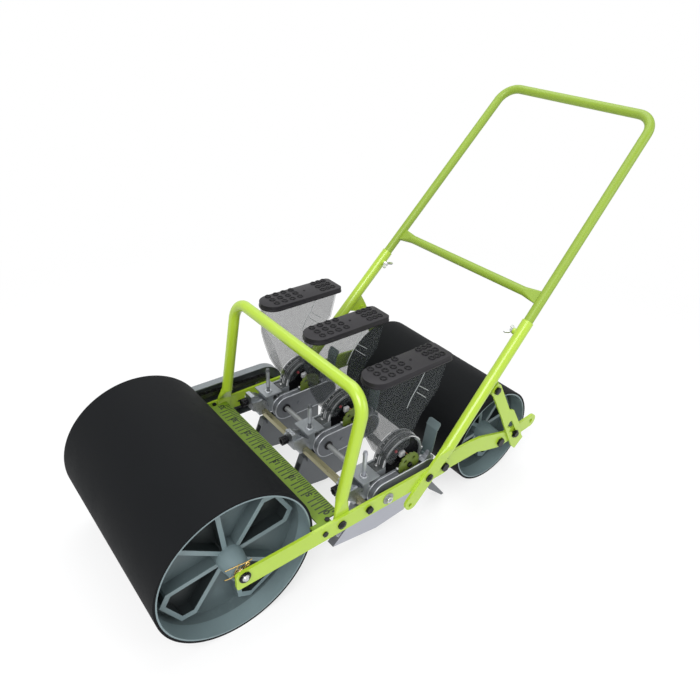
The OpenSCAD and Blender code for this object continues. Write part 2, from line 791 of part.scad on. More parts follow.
module unit_body(n) {
    rear = latch_y;
    color("lightslategray") at_unit(n) difference() {
        union() {
            // Far side plate with the round of the seed housing
            side_plate(-plate_l, plate_s) {
                translate([seed_y, seed_z]) circle(r = ring_r);
                polygon([
                    [250, 122], [262, 108], [drag_y - 12, 108], [drag_y, 118], [rear, 118], [rear, 142],
                    [392, 150], [seed_y, seed_z], [300, 165], [250, 165]
                ]);
            }
            // Near side plate, which closes the chain guard and carries the seed roller
            side_plate(guard_in - plate_s, plate_s) {
                guard_outline(0);
                translate([seed_y, seed_z]) circle(r = 11);
                translate([drag_y, drag_z]) circle(r = 8);
                translate([drag_y - 8, drag_z]) square([16, 12]);
            }
            // Seed housing: two bands round the roller, with feed notches in the far one
            side_plate(-plate_l + plate_s, 9) housing_band(ring_r);
            side_plate(-plate_l + plate_s + 9, 3) housing_band(ring_r - 3);
            side_plate(-plate_l + plate_s + 12, 11) housing_band(ring_r - 1);
            // Top plate and the block that bolts to the clamp
            translate([-22, 242, 164.5]) cube([43.5, 38, 3]);
            translate([-15, 250, 122]) cube([30, 13, 43]);
            // Cross plate and chute box behind the clamp block
            translate([-plate_l, 286, 140]) cube([plate_l + guard_in, 18, 4]);
            translate([-plate_l, 284, 142]) cube([28, 22, 20]);
            // Far ear of the drag, and ears with the latch pin
            side_plate(-plate_l, plate_s) {
                translate([drag_y, drag_z]) circle(r = 8);
                translate([drag_y - 8, drag_z]) square([16, 24]);
            }
            for (x = [-13.5, 10.5]) side_plate(x, 3) {
                translate([latch_y, latch_z]) circle(r = 8);
                translate([latch_y - 20, latch_z - 8]) square([20, 16]);
            }
            translate([-plate_l, latch_y - 22, latch_z - 8]) cube([plate_l + guard_in - plate_s, 4, 16]);
            bar_x(-13.5, 27, pin_r, latch_y, latch_z);
            bar_x(-plate_l, plate_l + guard_in, pin_r, drag_y, drag_z);
        }
        bar_x(-30, 60, shaft_r + 0.4, shaft_y, shaft_z);
        bar_x(-30, 60, shaft_r + running, seed_y, seed_z);
        bar_x(3, 30, seed_hub_r + running, seed_y, seed_z);
        translate([stem_dx, stem_y, 100]) cylinder(h = 90, r = stem_r + running);
        for (i = [0 : 6]) translate([0, seed_y, seed_z]) rotate([i * 14 - 50, 0, 0])
            translate([-plate_l + 5, -1.5, ring_r - 2]) cube([5, 3, 4]);
        // Clear way for the opener's plates when it is raised
        translate([-14, 230, 90]) cube([19, 60, 32]);
    }
}

// Band of the seed housing over the roller, open below at the seed outlet
module housing_band(r) {
    translate([seed_y, seed_z]) difference() {
        circle(r = r);
        circle(r = seed_r + 1);
        translate([-20, -60]) square([40, 60]);
        rotate(62) translate([0, -9]) square([60, 18]);
    }
}

// Side outline over the raised rear of a guard, lowered by d inside
module tail_outline(d) {
    top = shaft_z + guard_r - d;
    polygon([
        [cut_rear - 2, shaft_z - 1], [guard_rear_y + 14, shaft_z - 1], [guard_rear_y + 14, top + 18],
        [cut_rear + 34, top + 18], [cut_rear + 25, top + 14], [cut_rear + 16, top + 5],
        [cut_rear + 8, top + 1], [cut_rear - 2, top]
    ]);
}

module chain_guard(n) {
    color("silver") at_unit(n) {
        difference() {
            union() {
                side_plate(guard_in, guard_out - guard_in) guard_outline(0);
                // Raised rear of the guard, which starts with an S-shaped rise behind the cut-out
                intersection() {
                    translate([0, cut_rear, 0]) rotate([90, 0, 180]) mirror([1, 0, 0])
                        linear_extrude(guard_rear_y + 12 - cut_rear)
                            polygon([[guard_in, shaft_z], [guard_out - 2, shaft_z], [guard_out - 2, shaft_z + guard_r],
                                [guard_in + 3, shaft_z + guard_r + 17], [guard_in, shaft_z + guard_r + 17]]);
                    side_plate(guard_in - 1, guard_out) tail_outline(0);
                }
            }
            side_plate(guard_in - 1, guard_out - guard_in - guard_t + 1) guard_outline(-guard_t);
            translate([guard_in - 1, cut_front, shaft_z]) cube([guard_out - guard_in - guard_t + 1, cut_rear - cut_front, 40]);
            intersection() {
                translate([0, cut_rear - 1, 0]) rotate([90, 0, 180]) mirror([1, 0, 0])
                    linear_extrude(guard_rear_y + 10 - cut_rear)
                        polygon([[guard_in - 1, shaft_z], [guard_out - 4, shaft_z], [guard_out - 4, shaft_z + guard_r - 1],
                            [guard_in + 2, shaft_z + guard_r + 14], [guard_in - 1, shaft_z + guard_r + 15]]);
                side_plate(guard_in - 2, guard_out) tail_outline(guard_t);
            }
            bar_x(guard_out - 5, 10, shaft_r + 1, shaft_y, shaft_z);
            bar_x(guard_in - 1, guard_out - guard_in - guard_t + 1, 2.6, drag_y, drag_z);
        }
        bar_x(guard_out, 1.5, 4, shaft_y + 32, shaft_z);
    }
}

module clamp(n) {
    slot = tool_bar_w + 0.4;
    front = tool_bar_y - 26;
    color("lightgray") at_unit(n) difference() {
        side_plate(-clamp_w / 2, clamp_w) difference() {
            polygon([
                [front, 172], [front, 142], [front + 12, 134], [tool_bar_y - 10, bar_z - 9],
                [tool_bar_y + 10, bar_z - 9], [tool_bar_y + 10, 150], [tool_bar_y - 8, 164], [front + 8, 172]
            ]);
            translate([tool_bar_y - slot / 2, bar_z - slot / 2]) square([slot, slot]);
            translate([tool_bar_y - 12, bar_z - 12]) square([14, 3 + 4]);
        }
        translate([knob_dx, front - 1, knob_z]) rotate([-90, 0, 0]) cylinder(h = 18, r = 4 + running);
        for (x = [-20, 11]) translate([x, front - 1, 160]) cube([9, 40, 20]);
    }
}

module clamp_knob(n) {
    front = tool_bar_y - 26;
    color("black") at_unit(n) translate([knob_dx, front - side_gap, knob_z]) rotate([90, 0, 0]) {
        translate([0, 0, -16]) cylinder(h = 18, r = 4);
        translate([0, 0, 1.5]) difference() {
            cylinder(h = 12, r = 8.5);
            for (i = [0 : 7]) rotate(i * 45) translate([10, 0, -1]) cylinder(h = 14, r = 2.6, $fn = 24);
            translate([0, 0, 9]) cylinder(h = 4, r = 4.5);
        }
    }
}

hopper_points = [
    [253, lid_top - 6.5], [253, 308], [280, 222], [299, 184], [340, 195], [342, 224], [360, 262],
    [373, 279], [397, 306], [410, lid_top - 6.5]
];

module hopper(n) {
    color([0.8, 0.85, 0.85, 0.5]) at_unit(n) difference() {
        union() {
            intersection() {
                side_plate(-hopper_w / 2, hopper_w) polygon(hopper_points);
                linear_extrude(lid_top) lid_outline((lid_w - hopper_w) / 2);
            }
            translate([0, 0, lid_top - stud_h - lid_plate - 3]) linear_extrude(3) lid_outline(lid_wall + 0.4);
        }
        intersection() {
            union() {
                side_plate(-hopper_w / 2, hopper_w) polygon(inset(hopper_points, hopper_wall));
                translate([-hopper_w / 2, 255.5, 340]) cube([hopper_w, 148, 40]);
            }
            linear_extrude(lid_top) lid_outline((lid_w - hopper_w) / 2 + hopper_wall);
        }
        side_plate(-hopper_w, 2 * hopper_w) translate([seed_y, seed_z]) circle(r = ring_r);
    }
}

// Outline of the lid, drawn in X and Y: a full round in front and small corners behind
module lid_outline(cut) {
    half = lid_w / 2 - cut;
    rear = lid_y + lid_len - cut;
    corner = 8 - cut;
    translate([0, lid_y + lid_w / 2]) circle(r = half);
    translate([-half, lid_y + lid_w / 2]) square([2 * half, rear - corner - lid_y - lid_w / 2]);
    translate([-half + corner, rear - corner - 1]) square([2 * (half - corner), corner + 1]);
    for (side = [-1, 1]) translate([side * (half - corner), rear - corner]) circle(r = corner, $fn = 32);
}

module lid(n) {
    under = lid_top - stud_h - lid_plate;
    color("dimgray") at_unit(n) {
        difference() {
            translate([0, 0, lid_top - lid_skirt]) linear_extrude(lid_skirt - stud_h) lid_outline(0);
            translate([0, 0, lid_top - lid_skirt - 1]) linear_extrude(under - lid_top + lid_skirt + 1)
                lid_outline(lid_wall);
        }
        // Ring studs in rows at both ends
        for (y = [276.5, 294, 311.5, 329, 382, 394, 406]) for (i = [-1 : 1])
            translate([i * 15, y, lid_top - stud_h]) difference() {
                cylinder(h = stud_h, r = 4.6, $fn = 32);
                translate([0, 0, 0.4]) cylinder(h = stud_h, r = 2.6, $fn = 32);
            }
        translate([0, lid_y + lid_len * 0.6, lid_top - stud_h]) cylinder(h = 1, r = 3, $fn = 32);
    }
}

module seed_roller(n) {
    cells = 16;
    color("black") at_unit(n) translate([0, seed_y, seed_z]) difference() {
        union() {
            bar_x(-15, 18, seed_r, 0, 0);
            bar_x(3, roller_face - 3, seed_hub_r, 0, 0);
            bar_x(-plate_l, plate_l + roller_face + sprocket_t + 3, shaft_r, 0, 0);
        }
        for (i = [0 : cells - 1]) rotate([i * 360 / cells, 0, 0]) translate([-6, 0, seed_r - 2])
            cylinder(h = 4, r = 2.2, $fn = 24);
    }
}

module drive_sprocket(n) {
    color("olive") at_unit(n) translate([roller_face, seed_y, seed_z])
        toothed_wheel(seed_teeth, seed_tip_r, 2.6, sprocket_t, shaft_r);
}

module latch_lever(n) {
    leg = 64;
    color("slategray") at_unit(n) translate([0, latch_y, latch_z]) rotate([-7, 0, 0]) difference() {
        union() {
            bar_x(-10, 20, 5, 0, 0);
            translate([-10, -1.5, 3]) cube([20, 3, leg - 3]);
            translate([-13, -1.5, 14]) cube([26, 3, leg - 14]);
            translate([0, 0, leg]) rotate([-22, 0, 0]) {
                translate([-14, -1.5, -1]) cube([28, 3, 9]);
                translate([0, 1.5, 4]) rotate([90, 0, 0]) linear_extrude(3) {
                    translate([-14, 0]) square([28, 6]);
                    for (side = [-1, 1]) translate([side * 10, 6]) circle(r = 4, $fn = 32);
                    translate([-10, 6]) square([20, 4]);
                }
            }
        }
        bar_x(-11, 22, pin_r + running, 0, 0);
    }
}

// Furrow opener: two pressed side sheets joined at the nose and carried by a height stem
module opener(n) {
    sheet = 2.5;
    far_x = -12;
    near_x = 1.5;
    color("thistle") at_unit(n) {
        for (x = [far_x, near_x]) side_plate(x, sheet) polygon([
            [246, 97], [241, 84], [234, 66], [227, 57], [198, 28.5], [300, 12.5], [370, 18.5], [386, 50],
            [386, 84], [290, 97]
        ]);
        // Nose tip and upper strip across the sheets
        side_plate(far_x, near_x + sheet - far_x) {
            polygon([[198, 28.5], [206, 27.2], [213, 42], [211, 41.2]]);
            polygon([[240, 82], [258, 88], [258, 97], [246, 97]]);
        }
        // Seed chute between the sheets
        translate([(far_x + near_x + sheet) / 2, 322, 20]) difference() {
            cylinder(h = 70, r = (near_x - far_x - sheet) / 2 + 0.5);
            translate([0, 0, -1]) cylinder(h = 80, r = (near_x - far_x - sheet) / 2 - 1);
        }
        // Height stem with a round head
        translate([stem_dx, stem_y, 90]) cylinder(h = 128, r = stem_r);
        translate([stem_dx, stem_y, 216]) cylinder(h = 6, r1 = 4.6, r2 = 3.4);
        translate([near_x, stem_y - 5, 88]) cube([stem_dx + stem_r - near_x, 10, 9]);
    }
}

// Soil drag that hangs behind the opener
module cover_drag(n) {
    half = 12;
    color("gray") at_unit(n) difference() {
        union() {
            bar_x(-half, 2 * half, 5.5, drag_y, drag_z);
            for (x = [-half, half - 3]) side_plate(x, 3)
                polygon([
                    [drag_y - 5, drag_z - 2], [drag_y + 6, drag_z], [438, 55], [474, 8], [468, 7], [428, 45]
                ]);
            side_plate(-half, 2 * half)
                polygon([[436, 50], [439, 53], [474, 8], [471, 6.5]]);
        }
        bar_x(-half - 1, 2 * half + 2, pin_r + running, drag_y, drag_z);
    }
}

unit_body(0);  // unit_body_1
unit_body(1);  // unit_body_2
unit_body(2);  // unit_body_3
chain_guard(0);  // chain_guard_1
chain_guard(1);  // chain_guard_2
chain_guard(2);  // chain_guard_3
clamp(0);  // clamp_1
clamp(1);  // clamp_2
clamp(2);  // clamp_3
clamp_knob(0);  // clamp_knob_1
clamp_knob(1);  // clamp_knob_2
clamp_knob(2);  // clamp_knob_3
hopper(0);  // hopper_1
hopper(1);  // hopper_2
hopper(2);  // hopper_3
lid(0);  // lid_1
lid(1);  // lid_2
lid(2);  // lid_3
seed_roller(0);  // seed_roller_1
seed_roller(1);  // seed_roller_2
seed_roller(2);  // seed_roller_3
drive_sprocket(0);  // drive_sprocket_1
drive_sprocket(1);  // drive_sprocket_2
drive_sprocket(2);  // drive_sprocket_3
latch_lever(0);  // latch_lever_1
latch_lever(1);  // latch_lever_2
latch_lever(2);  // latch_lever_3
opener(0);  // opener_1
opener(1);  // opener_2
opener(2);  // opener_3
cover_drag(0);  // cover_drag_1
cover_drag(1);  // cover_drag_2
cover_drag(2);  // cover_drag_3
side_bar_near();
side_bar_far();
ruler_bar();
carry_hoop();
tool_bar();
frame_bolts();
bushes();
chain_cover();
drive_chain();
handle_leg(1);  // handle_leg_near
handle_leg(-1);  // handle_leg_far
drive_shaft();
shaft_sprocket();
front_sleeve();
front_drum();
front_axle();
front_sprocket();
split_pins();
rear_sleeve();
rear_drum();
rear_axle();
rear_arms();
notch_plate(1);  // notch_plate_near
notch_plate(-1);  // notch_plate_far
upper_handle();
wing_screw(1);  // wing_screw_near
wing_screw(-1);  // wing_screw_far
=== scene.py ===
import bpy
from math import cos, sin, pi, radians
from mathutils import Vector, Matrix


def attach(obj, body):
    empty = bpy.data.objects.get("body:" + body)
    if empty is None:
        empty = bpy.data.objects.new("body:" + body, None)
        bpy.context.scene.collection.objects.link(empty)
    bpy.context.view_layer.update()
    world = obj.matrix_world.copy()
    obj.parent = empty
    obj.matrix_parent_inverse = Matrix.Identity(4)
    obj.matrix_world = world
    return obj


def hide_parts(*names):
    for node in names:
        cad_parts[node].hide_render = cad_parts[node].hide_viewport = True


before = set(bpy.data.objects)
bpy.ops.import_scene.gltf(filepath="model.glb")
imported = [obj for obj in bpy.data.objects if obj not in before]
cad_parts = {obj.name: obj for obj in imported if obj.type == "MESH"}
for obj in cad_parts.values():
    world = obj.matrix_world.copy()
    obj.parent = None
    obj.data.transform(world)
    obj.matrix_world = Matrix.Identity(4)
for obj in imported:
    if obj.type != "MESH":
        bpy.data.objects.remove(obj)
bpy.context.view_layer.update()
bpy.ops.object.select_all(action="DESELECT")

origin = (3.605, -389.126)  # x and y of the front axle's middle in the model's frame, in mm


# Machine millimetres to the model's metres: x runs from the machine's middle, y back from the
# front axle and z up from the floor
def place(x, y, z):
    return Vector((x + origin[0], y + origin[1], z)) / 1000


# Shader maths: a socket that takes part in Python sums
class Signal:
    def __init__(self, nodes, socket):
        self.nodes = nodes
        self.socket = socket

    def __add__(self, other):
        return self.nodes.maths("ADD", self, other)

    def __radd__(self, other):
        return self.nodes.maths("ADD", other, self)

    def __sub__(self, other):
        return self.nodes.maths("SUBTRACT", self, other)

    def __rsub__(self, other):
        return self.nodes.maths("SUBTRACT", other, self)

    def __mul__(self, other):
        return self.nodes.maths("MULTIPLY", self, other)

    def __rmul__(self, other):
        return self.nodes.maths("MULTIPLY", other, self)

    def __pow__(self, other):
        return self.nodes.maths("POWER", self, other)

    def step(self, low, high, start=0.0, end=1.0):  # smooth change from start to end
        settings = {"interpolation_type": "SMOOTHSTEP", "clamp": True}
        values = {0: self, 1: low, 2: high, 3: start, 4: end}
        return self.nodes.node("ShaderNodeMapRange", settings, values)

    def beside(self, out):  # another output of the same node
        return Signal(self.nodes, self.socket.node.outputs[out])


# A node tree, emptied, and the one method that adds nodes to it
class Nodes:
    def __init__(self, tree):
        self.tree = tree
        tree.nodes.clear()

    def feed(self, socket, value):
        if isinstance(value, Signal):
            self.tree.links.new(value.socket, socket)
        else:
            socket.default_value = value

    def node(self, kind, settings=None, values=None, out=0):
        made = self.tree.nodes.new(kind)
        for name, value in (settings or {}).items():
            setattr(made, name, value)
        for name, value in (values or {}).items():
            self.feed(made.inputs[name], value)
        return Signal(self, made.outputs[out])

    def maths(self, operation, *values):
        return self.node("ShaderNodeMath", {"operation": operation}, dict(enumerate(values)))

    def mixed(self, factor, first, second):
        return self.node("ShaderNodeMixShader", {}, {0: factor, 1: first, 2: second})

    def show(self, kind, shader):  # kind: the tree's output node
        self.feed(self.tree.nodes.new(kind).inputs["Surface"], shader)


class Finish(Nodes):
    def __init__(self, name, surface):
        self.material = bpy.data.materials.new(name)
        self.material.use_nodes = True
        super().__init__(self.material.node_tree)
        shader = self.node("ShaderNodeBsdfPrincipled")
        self.inputs = shader.socket.node.inputs
        self.show("ShaderNodeOutputMaterial", shader)
        self.places = self.node("ShaderNodeTexCoord", out="Object")
        self.surface(surface)

    def surface(self, values):
        for name, value in values.items():
            self.feed(self.inputs[name], value)

    def base(self):  # what gives the colour so far
        return Signal(self, self.inputs["Base Color"].links[0].from_socket)

    def spot(self):  # x, y and z of the surface, in machine millimetres
        x = self.node("ShaderNodeSeparateXYZ", {}, {0: self.places})
        y, z = x.beside(1), x.beside(2)
        return x * 1000 - origin[0], y * 1000 - origin[1], z * 1000

    def stretched(self, x, y, z):
        return self.node("ShaderNodeMapping", {}, {"Vector": self.places, "Scale": (x, y, z)})

    def noise(self, size, detail=2.0, rough=0.5, where=None):  # size: width of a patch, in mm
        values = {"Vector": where or self.places, "Scale": 1000 / size, "Detail": detail}
        return self.node("ShaderNodeTexNoise", {}, {**values, "Roughness": rough})

    def cells(self, size, out="Distance"):
        values = {"Vector": self.places, "Scale": 1000 / size}
        return self.node("ShaderNodeTexVoronoi", {}, values, out)

    def tint(self, factor, first, second):
        values = {0: factor, 6: first, 7: second}
        return self.node("ShaderNodeMix", {"data_type": "RGBA"}, values, 2)

    def bump(self, height, depth):  # depth in millimetres
        values = {"Height": height, "Distance": depth / 1000, "Strength": 1.0}
        self.surface({"Normal": self.node("ShaderNodeBump", {}, values)})


def shade(colour, level):
    return tuple(min(1, part * level) for part in colour) + (1,)


# Spread is how far the colour drifts, peel the depth of the paint's orange peel
def paint(name, colour, rough=0.3, coat=0.25, spread=0.07, peel=0.007, shine=0.5):
    made = Finish(name, {"Coat Weight": coat, "Coat Roughness": 0.12, "IOR": 1.5,
                         "Specular IOR Level": shine})
    drift = made.noise(90)
    cloud = made.noise(14, 3)
    fleck = made.noise(1.1)
    scuff = made.noise(3, 4, 0.65, made.stretched(1, 0.25, 1)).step(0.7, 0.78)
    dust = made.noise(30, 5, 0.6).step(0.5, 0.8)
    dustColour = (0.5, 0.47, 0.4, 1)
    tone = drift * 0.6 + cloud * 0.4
    base = made.tint(tone, shade(colour, 1 - spread), shade(colour, 1 + spread))
    base = made.tint(fleck.step(0.62, 0.75, 0, 0.18), base, shade(colour, 0.72))
    base = made.tint(scuff * 0.25, base, shade(colour, 1.35))
    base = made.tint(dust * 0.05, base, dustColour)
    made.surface({"Base Color": base,
                  "Roughness": rough + cloud * 0.08 + scuff * 0.2 + dust * 0.08})
    made.bump(made.noise(2.2) + fleck * 0.3 + scuff * -0.2, peel)
    return made


# Grain stretches the fine lines, streak is their contrast, and spangle that of zinc's crystals
def metal(name, colour, rough, grain=(1, 1, 1), streak=0.12, metallic=1.0, depth=0.01, spangle=0.0):
    made = Finish(name, {"IOR": 1.45})
    lines = made.noise(6, 4, 0.6, made.stretched(*grain))
    cloud = made.noise(35, 4, 0.6)
    fine = made.noise(0.7)
    tone = lines * 0.5 + cloud * 0.5
    base = made.tint(tone, shade(colour, 1 - streak), shade(colour, 1 + streak))
    if spangle:
        crystal = made.node("ShaderNodeSeparateXYZ", {}, {0: made.cells(9, "Color")})
        base = made.tint(crystal * spangle, base, shade(colour, 0.6))
    stain = made.noise(20, 6, 0.7).step(0.58, 0.75)
    base = made.tint(stain * 0.22, base, shade(colour, 0.55))
    made.surface({"Base Color": base, "Metallic": metallic - stain * 0.15})
    uneven = (lines - 0.5) * 0.18
    made.surface({"Roughness": rough + uneven + (cloud - 0.5) * 0.12 + stain * 0.12})
    made.bump(lines * 0.6 + fine * 0.4, depth)
    return made


# Grain is the moulding texture's size in millimetres, and rubbed how pale the worn places are
def plastic(name, colour, rough, grain=0.9, spread=0.1, rubbed=0.1, shine=0.5):
    made = Finish(name, {"IOR": 1.48, "Specular IOR Level": shine})
    cloud = made.noise(40, 3)
    fine = made.noise(grain, 3, 0.6)
    pits = made.cells(grain * 1.6)
    rub = made.noise(16, 5, 0.65).step(0.52, 0.7)
    base = made.tint(cloud, shade(colour, 1 - spread), shade(colour, 1 + spread))
    base = made.tint(rub * rubbed, base, shade(colour, 2.2))
    made.surface({"Base Color": base, "Roughness": rough + fine * 0.1 + rub * 0.12 - 0.05})
    made.bump(fine * 0.6 + pits * 0.4, 0.02)
    return made


# Wedge pockets in the roller drums, four to a turn: painted shade inside, with their rib tops paler
pocket = {
    "turn": -15,  # where the first quarter starts, in degrees
    "apex": 19.7,  # how far from the axle the wedge's sides would meet
    "slope": 0.445,  # how fast they part
    "side": (-5, -3),  # how far outside a wedge's side the shadow starts and is full
    "past": 4, "fade": 2,  # how far past the rim it ends, and over what width
    "shadow": 0.13,  # its level
    "top": (1.2, 0.2),  # how far under a rib's top the paler tint starts and is full
    "paling": 0.8, "pale": 1.9,  # how much of the top is made paler, and its level
}


def drumPlastic(name, colour, y, z, face, outer):  # the axle's place, rib tops' x, rim's radius
    made = plastic(name, colour, 0.4, 1.2)
    across, along, up = made.spot()
    along, up = along - y, up - z
    away = (along * along + up * up) ** 0.5
    turned = made.maths("ARCTAN2", up, along) - radians(pocket["turn"]) + 4 * pi
    folded = made.maths("MODULO", turned, pi / 2) - pi / 4
    out = away * made.maths("COSINE", folded)
    aside = made.maths("ABSOLUTE", away * made.maths("SINE", folded))
    inside = ((out - pocket["apex"]) * pocket["slope"] - aside).step(*pocket["side"])
    inside = inside * (outer + pocket["past"] - away).step(0, pocket["fade"])
    low, high = (face - part for part in pocket["top"])
    top = made.maths("ABSOLUTE", across).step(low, high)
    # Painted shade on the pocket floors, and a paler tint on the rib tops
    shadow = made.tint(inside * (1 - top), made.base(), shade(colour, pocket["shadow"]))
    pale = made.tint(top * pocket["paling"], shadow, shade(colour, pocket["pale"]))
    made.surface({"Base Color": pale})
    return made


def rubber(name, colour, rough):
    made = Finish(name, {"IOR": 1.5, "Specular IOR Level": 0.07})
    cloth = made.noise(0.9)
    cloud = made.noise(60, 5, 0.6)
    dust = made.noise(9, 5, 0.7).step(0.5, 0.8)
    base = made.tint(cloud, shade(colour, 0.85), shade(colour, 1.25))
    base = made.tint(dust * 0.12, base, shade(colour, 3))
    made.surface({"Base Color": base, "Roughness": rough + (cloud - 0.5) * 0.2 + dust * 0.1})
    made.bump(cloth * 0.7 + made.noise(4, 3) * 0.3, 0.05)
    return made


# Smoky sheet that thickens toward its silhouette
def clearPlastic(name, colour, least):  # least: how opaque it is where it faces the eye
    made = Finish(name, {"IOR": 1.5, "Specular IOR Level": 0.14})
    cloud = made.noise(30, 3)
    rub = made.noise(9, 5, 0.65, made.stretched(1, 1, 0.4)).step(0.55, 0.75)
    grazing = made.node("ShaderNodeLayerWeight", {}, {"Blend": 0.5}, "Facing")
    base = made.tint(cloud, shade(colour, 0.8), shade(colour, 1.25))
    made.surface({"Base Color": made.tint(rub * 0.3, base, shade(colour, 3))})
    made.surface({"Alpha": least + grazing ** 3 * 0.45 + rub * 0.05,
                  "Roughness": 0.13 + cloud * 0.04 + rub * 0.1})
    made.bump(made.noise(45, 1), 0.3)
    return made


drumGrey = (0.095, 0.128, 0.135)
black = (0.005, 0.005, 0.006)
finishes = {
    "lime": paint("limePaint", (0.36, 0.52, 0.028), coat=0.3),
    # A darker copy of the lime paint: painted shade on the upper handle
    "limeShaded": paint("limePaintShaded", (0.22, 0.33, 0.022), 0.42, coat=0.05, peel=0.003),
    "ruler": paint("rulerPaint", (0.125, 0.215, 0.002), 0.5, coat=0.02, spread=0.12),
    "print": paint("rulerPrint", (0.012, 0.022, 0.004), 0.5, coat=0.02),
    "rubber": rubber("rollerRubber", (0.0062, 0.0068, 0.0076), 0.66),
    "frontDrum": drumPlastic("frontDrumPlastic", drumGrey, y=0, z=135, face=154.5, outer=113),
    "rearDrum": drumPlastic("rearDrumPlastic", drumGrey, y=593.5, z=102.7, face=145, outer=82),
    "sheet": metal("zincSheet", (0.5, 0.52, 0.55), 0.4, grain=(1, 0.3, 1), streak=0.08,
                   metallic=0.85, depth=0.012, spangle=0.2),
    "cover": metal("coverSheet", (0.2, 0.22, 0.23), 0.4, grain=(1, 0.3, 1), metallic=0.7),
    "chain": metal("chainSteel", (0.09, 0.09, 0.09), 0.42),
    "guard": metal("guardSheet", (0.17, 0.18, 0.195), 0.42, grain=(1, 0.3, 1), metallic=0.6,
                   depth=0.012, spangle=0.15),
    "whitePlastic": plastic("whitePlastic", (0.55, 0.55, 0.56), 0.4),
    "copper": metal("copperBristle", (0.5, 0.22, 0.12), 0.35),
    "red": plastic("redPlastic", (0.45, 0.05, 0.06), 0.4),
    "smoke": plastic("smokedBand", (0.055, 0.06, 0.062), 0.22, spread=0.3, rubbed=0.3, shine=0.6),
    "zinc": metal("brightZinc", (0.55, 0.56, 0.56), 0.26),
    # Pale plastic for the painted glints on the hoppers
    "glint": plastic("hopperGlintPlastic", (0.3, 0.32, 0.32), 0.3),
    "steel": metal("plainSteel", (0.55, 0.56, 0.57), 0.3, streak=0.1),
    "blackSteel": paint("blackSteel", black, 0.24, coat=0, shine=0.22),
    "brass": metal("brass", (0.55, 0.38, 0.14), 0.32),
    "clear": clearPlastic("clearHopper", (0.042, 0.048, 0.05), 0.21),
    "lid": plastic("lidPlastic", (0.017, 0.016, 0.0185), 0.32, spread=0.12, shine=0.18),
    "blackPlastic": plastic("blackPlastic", black, 0.26, shine=0.16),
    # Lit and shaded copies of the opener sheet: painted light on the near opener
    "shoe": metal("litShoeSheet", (0.44, 0.45, 0.5), 0.42, grain=(0.3, 1, 1), streak=0.1,
                  metallic=0.7),
    # Painted shade: the shaded copy, for the far openers and the cover drags
    "shadedShoe": metal("shadedShoeSheet", (0.16, 0.17, 0.18), 0.45, grain=(0.3, 1, 1), metallic=0.6),
    "olivePlastic": plastic("sprocketPlastic", (0.1, 0.14, 0.02), 0.38, spread=0.2, rubbed=0.2),
    "olive": metal("oliveZinc", (0.34, 0.32, 0.19), 0.3, grain=(0.1, 1, 1), streak=0.2,
                   metallic=0.9),
    "cast": metal("castHousing", (0.27, 0.29, 0.305), 0.45, streak=0.2, metallic=0.55, depth=0.05),
    "jaw": metal("castJaw", (0.33, 0.35, 0.37), 0.3, streak=0.35, metallic=0.9, depth=0.9),
    "shaft": metal("dullShaft", (0.3, 0.31, 0.31), 0.5, grain=(0.1, 1, 1), streak=0.25,
                   metallic=0.6),
    "lever": plastic("leverPlastic", (0.1, 0.135, 0.14), 0.42),
}
print("finishes made:", len(finishes))


def three(kind):  # the three row units' solids of one kind
    return [f"{kind}_{n}" for n in (1, 2, 3)]


# Which finish each solid of the model takes
dressing = {
    "lime": ["side_bar_near", "side_bar_far", "carry_hoop", "rear_arms", "notch_plate_near",
             "notch_plate_far", "handle_leg_near", "handle_leg_far"],
    # The upper handle takes the lime paint's painted-shade copy
    "limeShaded": ["upper_handle"],
    "ruler": ["ruler_bar"],
    "rubber": ["front_sleeve", "rear_sleeve"],
    "frontDrum": ["front_drum"],
    "rearDrum": ["rear_drum"],
    "cover": ["chain_cover"],
    "chain": ["drive_chain"],
    "guard": three("chain_guard"),
    "jaw": three("clamp"),
    "zinc": ["wing_screw_near", "wing_screw_far", "front_axle"],
    "steel": ["front_sprocket", "shaft_sprocket"],
    "shaft": ["drive_shaft"],
    "blackSteel": ["frame_bolts", "rear_axle", "bushes"],
    "brass": ["split_pins"],
    "olivePlastic": three("drive_sprocket"),
    "clear": three("hopper"),
    "lid": three("lid"),
    "blackPlastic": three("clamp_knob") + three("seed_roller"),
    # The near opener takes the lit copy; the far openers and cover drags take the painted-shade
    # copy
    "shoe": ["opener_3"],
    "shadedShoe": ["opener_1", "opener_2"] + three("cover_drag"),
    "olive": ["tool_bar"],
    "cast": three("unit_body"),
    "lever": three("latch_lever"),
}
for finishName, nodes in dressing.items():
    for nodeName in nodes:
        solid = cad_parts[nodeName]
        for slot in solid.material_slots:
            slot.material = finishes[finishName].material
        if not solid.material_slots:
            solid.data.materials.append(finishes[finishName].material)
print("solids dressed:", sum(len(nodes) for nodes in dressing.values()))


# Modelling by operators: small helpers that every new piece uses, with sizes in millimetres
touch = 1e-6  # two places closer than this, in metres, count as one


def begin():
    if bpy.context.object and bpy.context.object.mode != "OBJECT":
        bpy.ops.object.mode_set(mode="OBJECT")
    bpy.ops.object.select_all(action="DESELECT")


def hold(piece):
    begin()
    piece.select_set(True)
    bpy.context.view_layer.objects.active = piece
    return piece


def settle(piece):
    hold(piece)
    bpy.ops.object.transform_apply(location=True, rotation=True, scale=True)
    return piece


def block(name, low, high):
    begin()
    bpy.ops.mesh.primitive_cube_add(size=1, location=(place(*low) + place(*high)) / 2)
    piece = bpy.context.object
    piece.name = name
    piece.scale = [(b - a) / 1000 for a, b in zip(low, high)]
    return settle(piece)


def rod(name, start, end, radius, sides=32, tip=None):  # tip: the radius at its end
    begin()
    first, last = place(*start), place(*end)
    axis = last - first
    bpy.ops.mesh.primitive_cone_add(
        vertices=sides, radius1=radius / 1000, radius2=(radius if tip is None else tip) / 1000,
        depth=axis.length, location=(first + last) / 2,
        rotation=axis.to_track_quat("Z", "Y").to_euler())
    piece = bpy.context.object
    piece.name = name
    return settle(piece)


